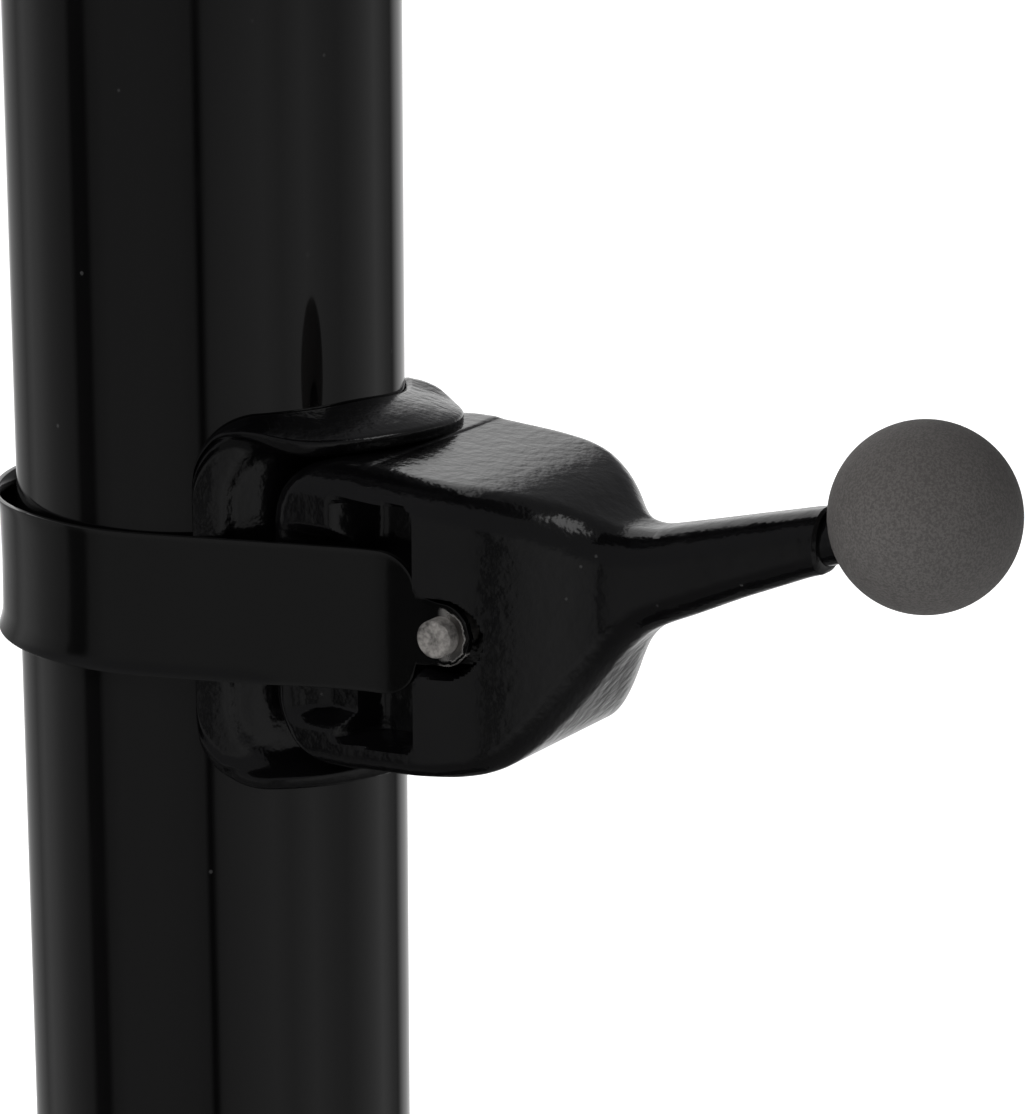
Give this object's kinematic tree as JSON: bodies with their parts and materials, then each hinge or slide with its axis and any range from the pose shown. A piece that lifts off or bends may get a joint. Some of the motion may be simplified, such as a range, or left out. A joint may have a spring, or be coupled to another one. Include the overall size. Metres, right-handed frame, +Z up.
{
  "type": "music stand",
  "caption": "Music stand with a round weighted base, telescopic column, strap clamp with ball lever, and tilting steel desk.",
  "frame": {"origin": "on the floor, under the column's axis, at the centre of the round base", "axes": "+Z up along the column; +X the way the clamp lever points, the player's right; the player stands on the -Y side"},
  "size_m": [0.5, 0.34, 1.1375],
  "materials": {
    "tube_gloss_black": "gloss black stove enamel on drawn steel tube",
    "saddle_gloss_black": "gloss black enamel on pressed steel",
    "strap_satin_black": "semi-gloss black enamel on spring steel strip",
    "casting_gloss_black": "gloss black enamel with slight orange peel on die-cast zinc",
    "ball_soft_grey": "fine-grained matt dark grey plastic",
    "steel_bare": "bare cut steel",
    "brass_insert": "turned brass",
    "nylon_black": "moulded black nylon",
    "knob_grey": "fine-grained matt dark grey plastic",
    "rubber_black": "matt black rubber",
    "cast_iron_black": "satin black powder coat on cast iron",
    "desk_powder_black": "fine textured black powder coat on sheet steel",
    "rivet_black": "satin black rivet heads"
  },
  "bodies": {
    "base": {"base_plate": "cast_iron_black", "floor_ring": "rubber_black", "base_bolt": "steel_bare", "base_washer": "steel_bare", "foot_plug": "steel_bare", "base_collar": "nylon_black", "outer_tube": "tube_gloss_black", "guide_bush": "nylon_black", "brake_shoe": "nylon_black", "clamp_saddle": "saddle_gloss_black"},
    "strap": {"clamp_strap": "strap_satin_black", "clamp_pin": "steel_bare"},
    "lever": {"lever_casting": "casting_gloss_black", "ball_knob": "ball_soft_grey", "knob_insert": "brass_insert"},
    "slider": {"slider_bush": "nylon_black"},
    "mast": {"inner_tube": "tube_gloss_black", "tilt_head": "casting_gloss_black", "head_screw": "steel_bare", "friction_disc_left": "nylon_black", "friction_disc_right": "nylon_black"},
    "desk": {"desk_panel": "desk_powder_black", "desk_bracket": "desk_powder_black", "bracket_rivet_1": "rivet_black", "bracket_rivet_2": "rivet_black", "bracket_rivet_3": "rivet_black", "bracket_rivet_4": "rivet_black", "tilt_bolt": "steel_bare"},
    "knob": {"tilt_knob": "knob_grey", "tilt_knob_nut": "brass_insert"}
  },
  "joints": [
    {"name": "strap_pull", "type": "slide", "parent": "base", "child": "strap", "axis": [1, 0, 0], "range_m": [0, 0.00091]},
    {"name": "lever_lock", "type": "hinge", "parent": "strap", "child": "lever", "pos_m": [0.02942, 0, 0.63], "axis": [0, 1, 0], "range_deg": [0, 7]},
    {"name": "height_slide", "type": "slide", "parent": "base", "child": "slider", "axis": [0, 0, 1], "range_m": [-0.16, 0.22]},
    {"name": "column_swivel", "type": "hinge", "parent": "slider", "child": "mast", "pos_m": [0, 0, 0.9], "axis": [0, 0, 1], "continuous": true},
    {"name": "desk_tilt", "type": "hinge", "parent": "mast", "child": "desk", "pos_m": [0, 0, 0.9283], "axis": [1, 0, 0], "range_deg": [-65, 20]},
    {"name": "tilt_knob_turn", "type": "hinge", "parent": "desk", "child": "knob", "pos_m": [0, 0, 0.9283], "axis": [1, 0, 0], "range_deg": [-180, 180]}
  ],
  "couplings": [
    {"joint": "strap_pull", "follows": "lever_lock", "m_per_rad": 0.0073}
  ]
}
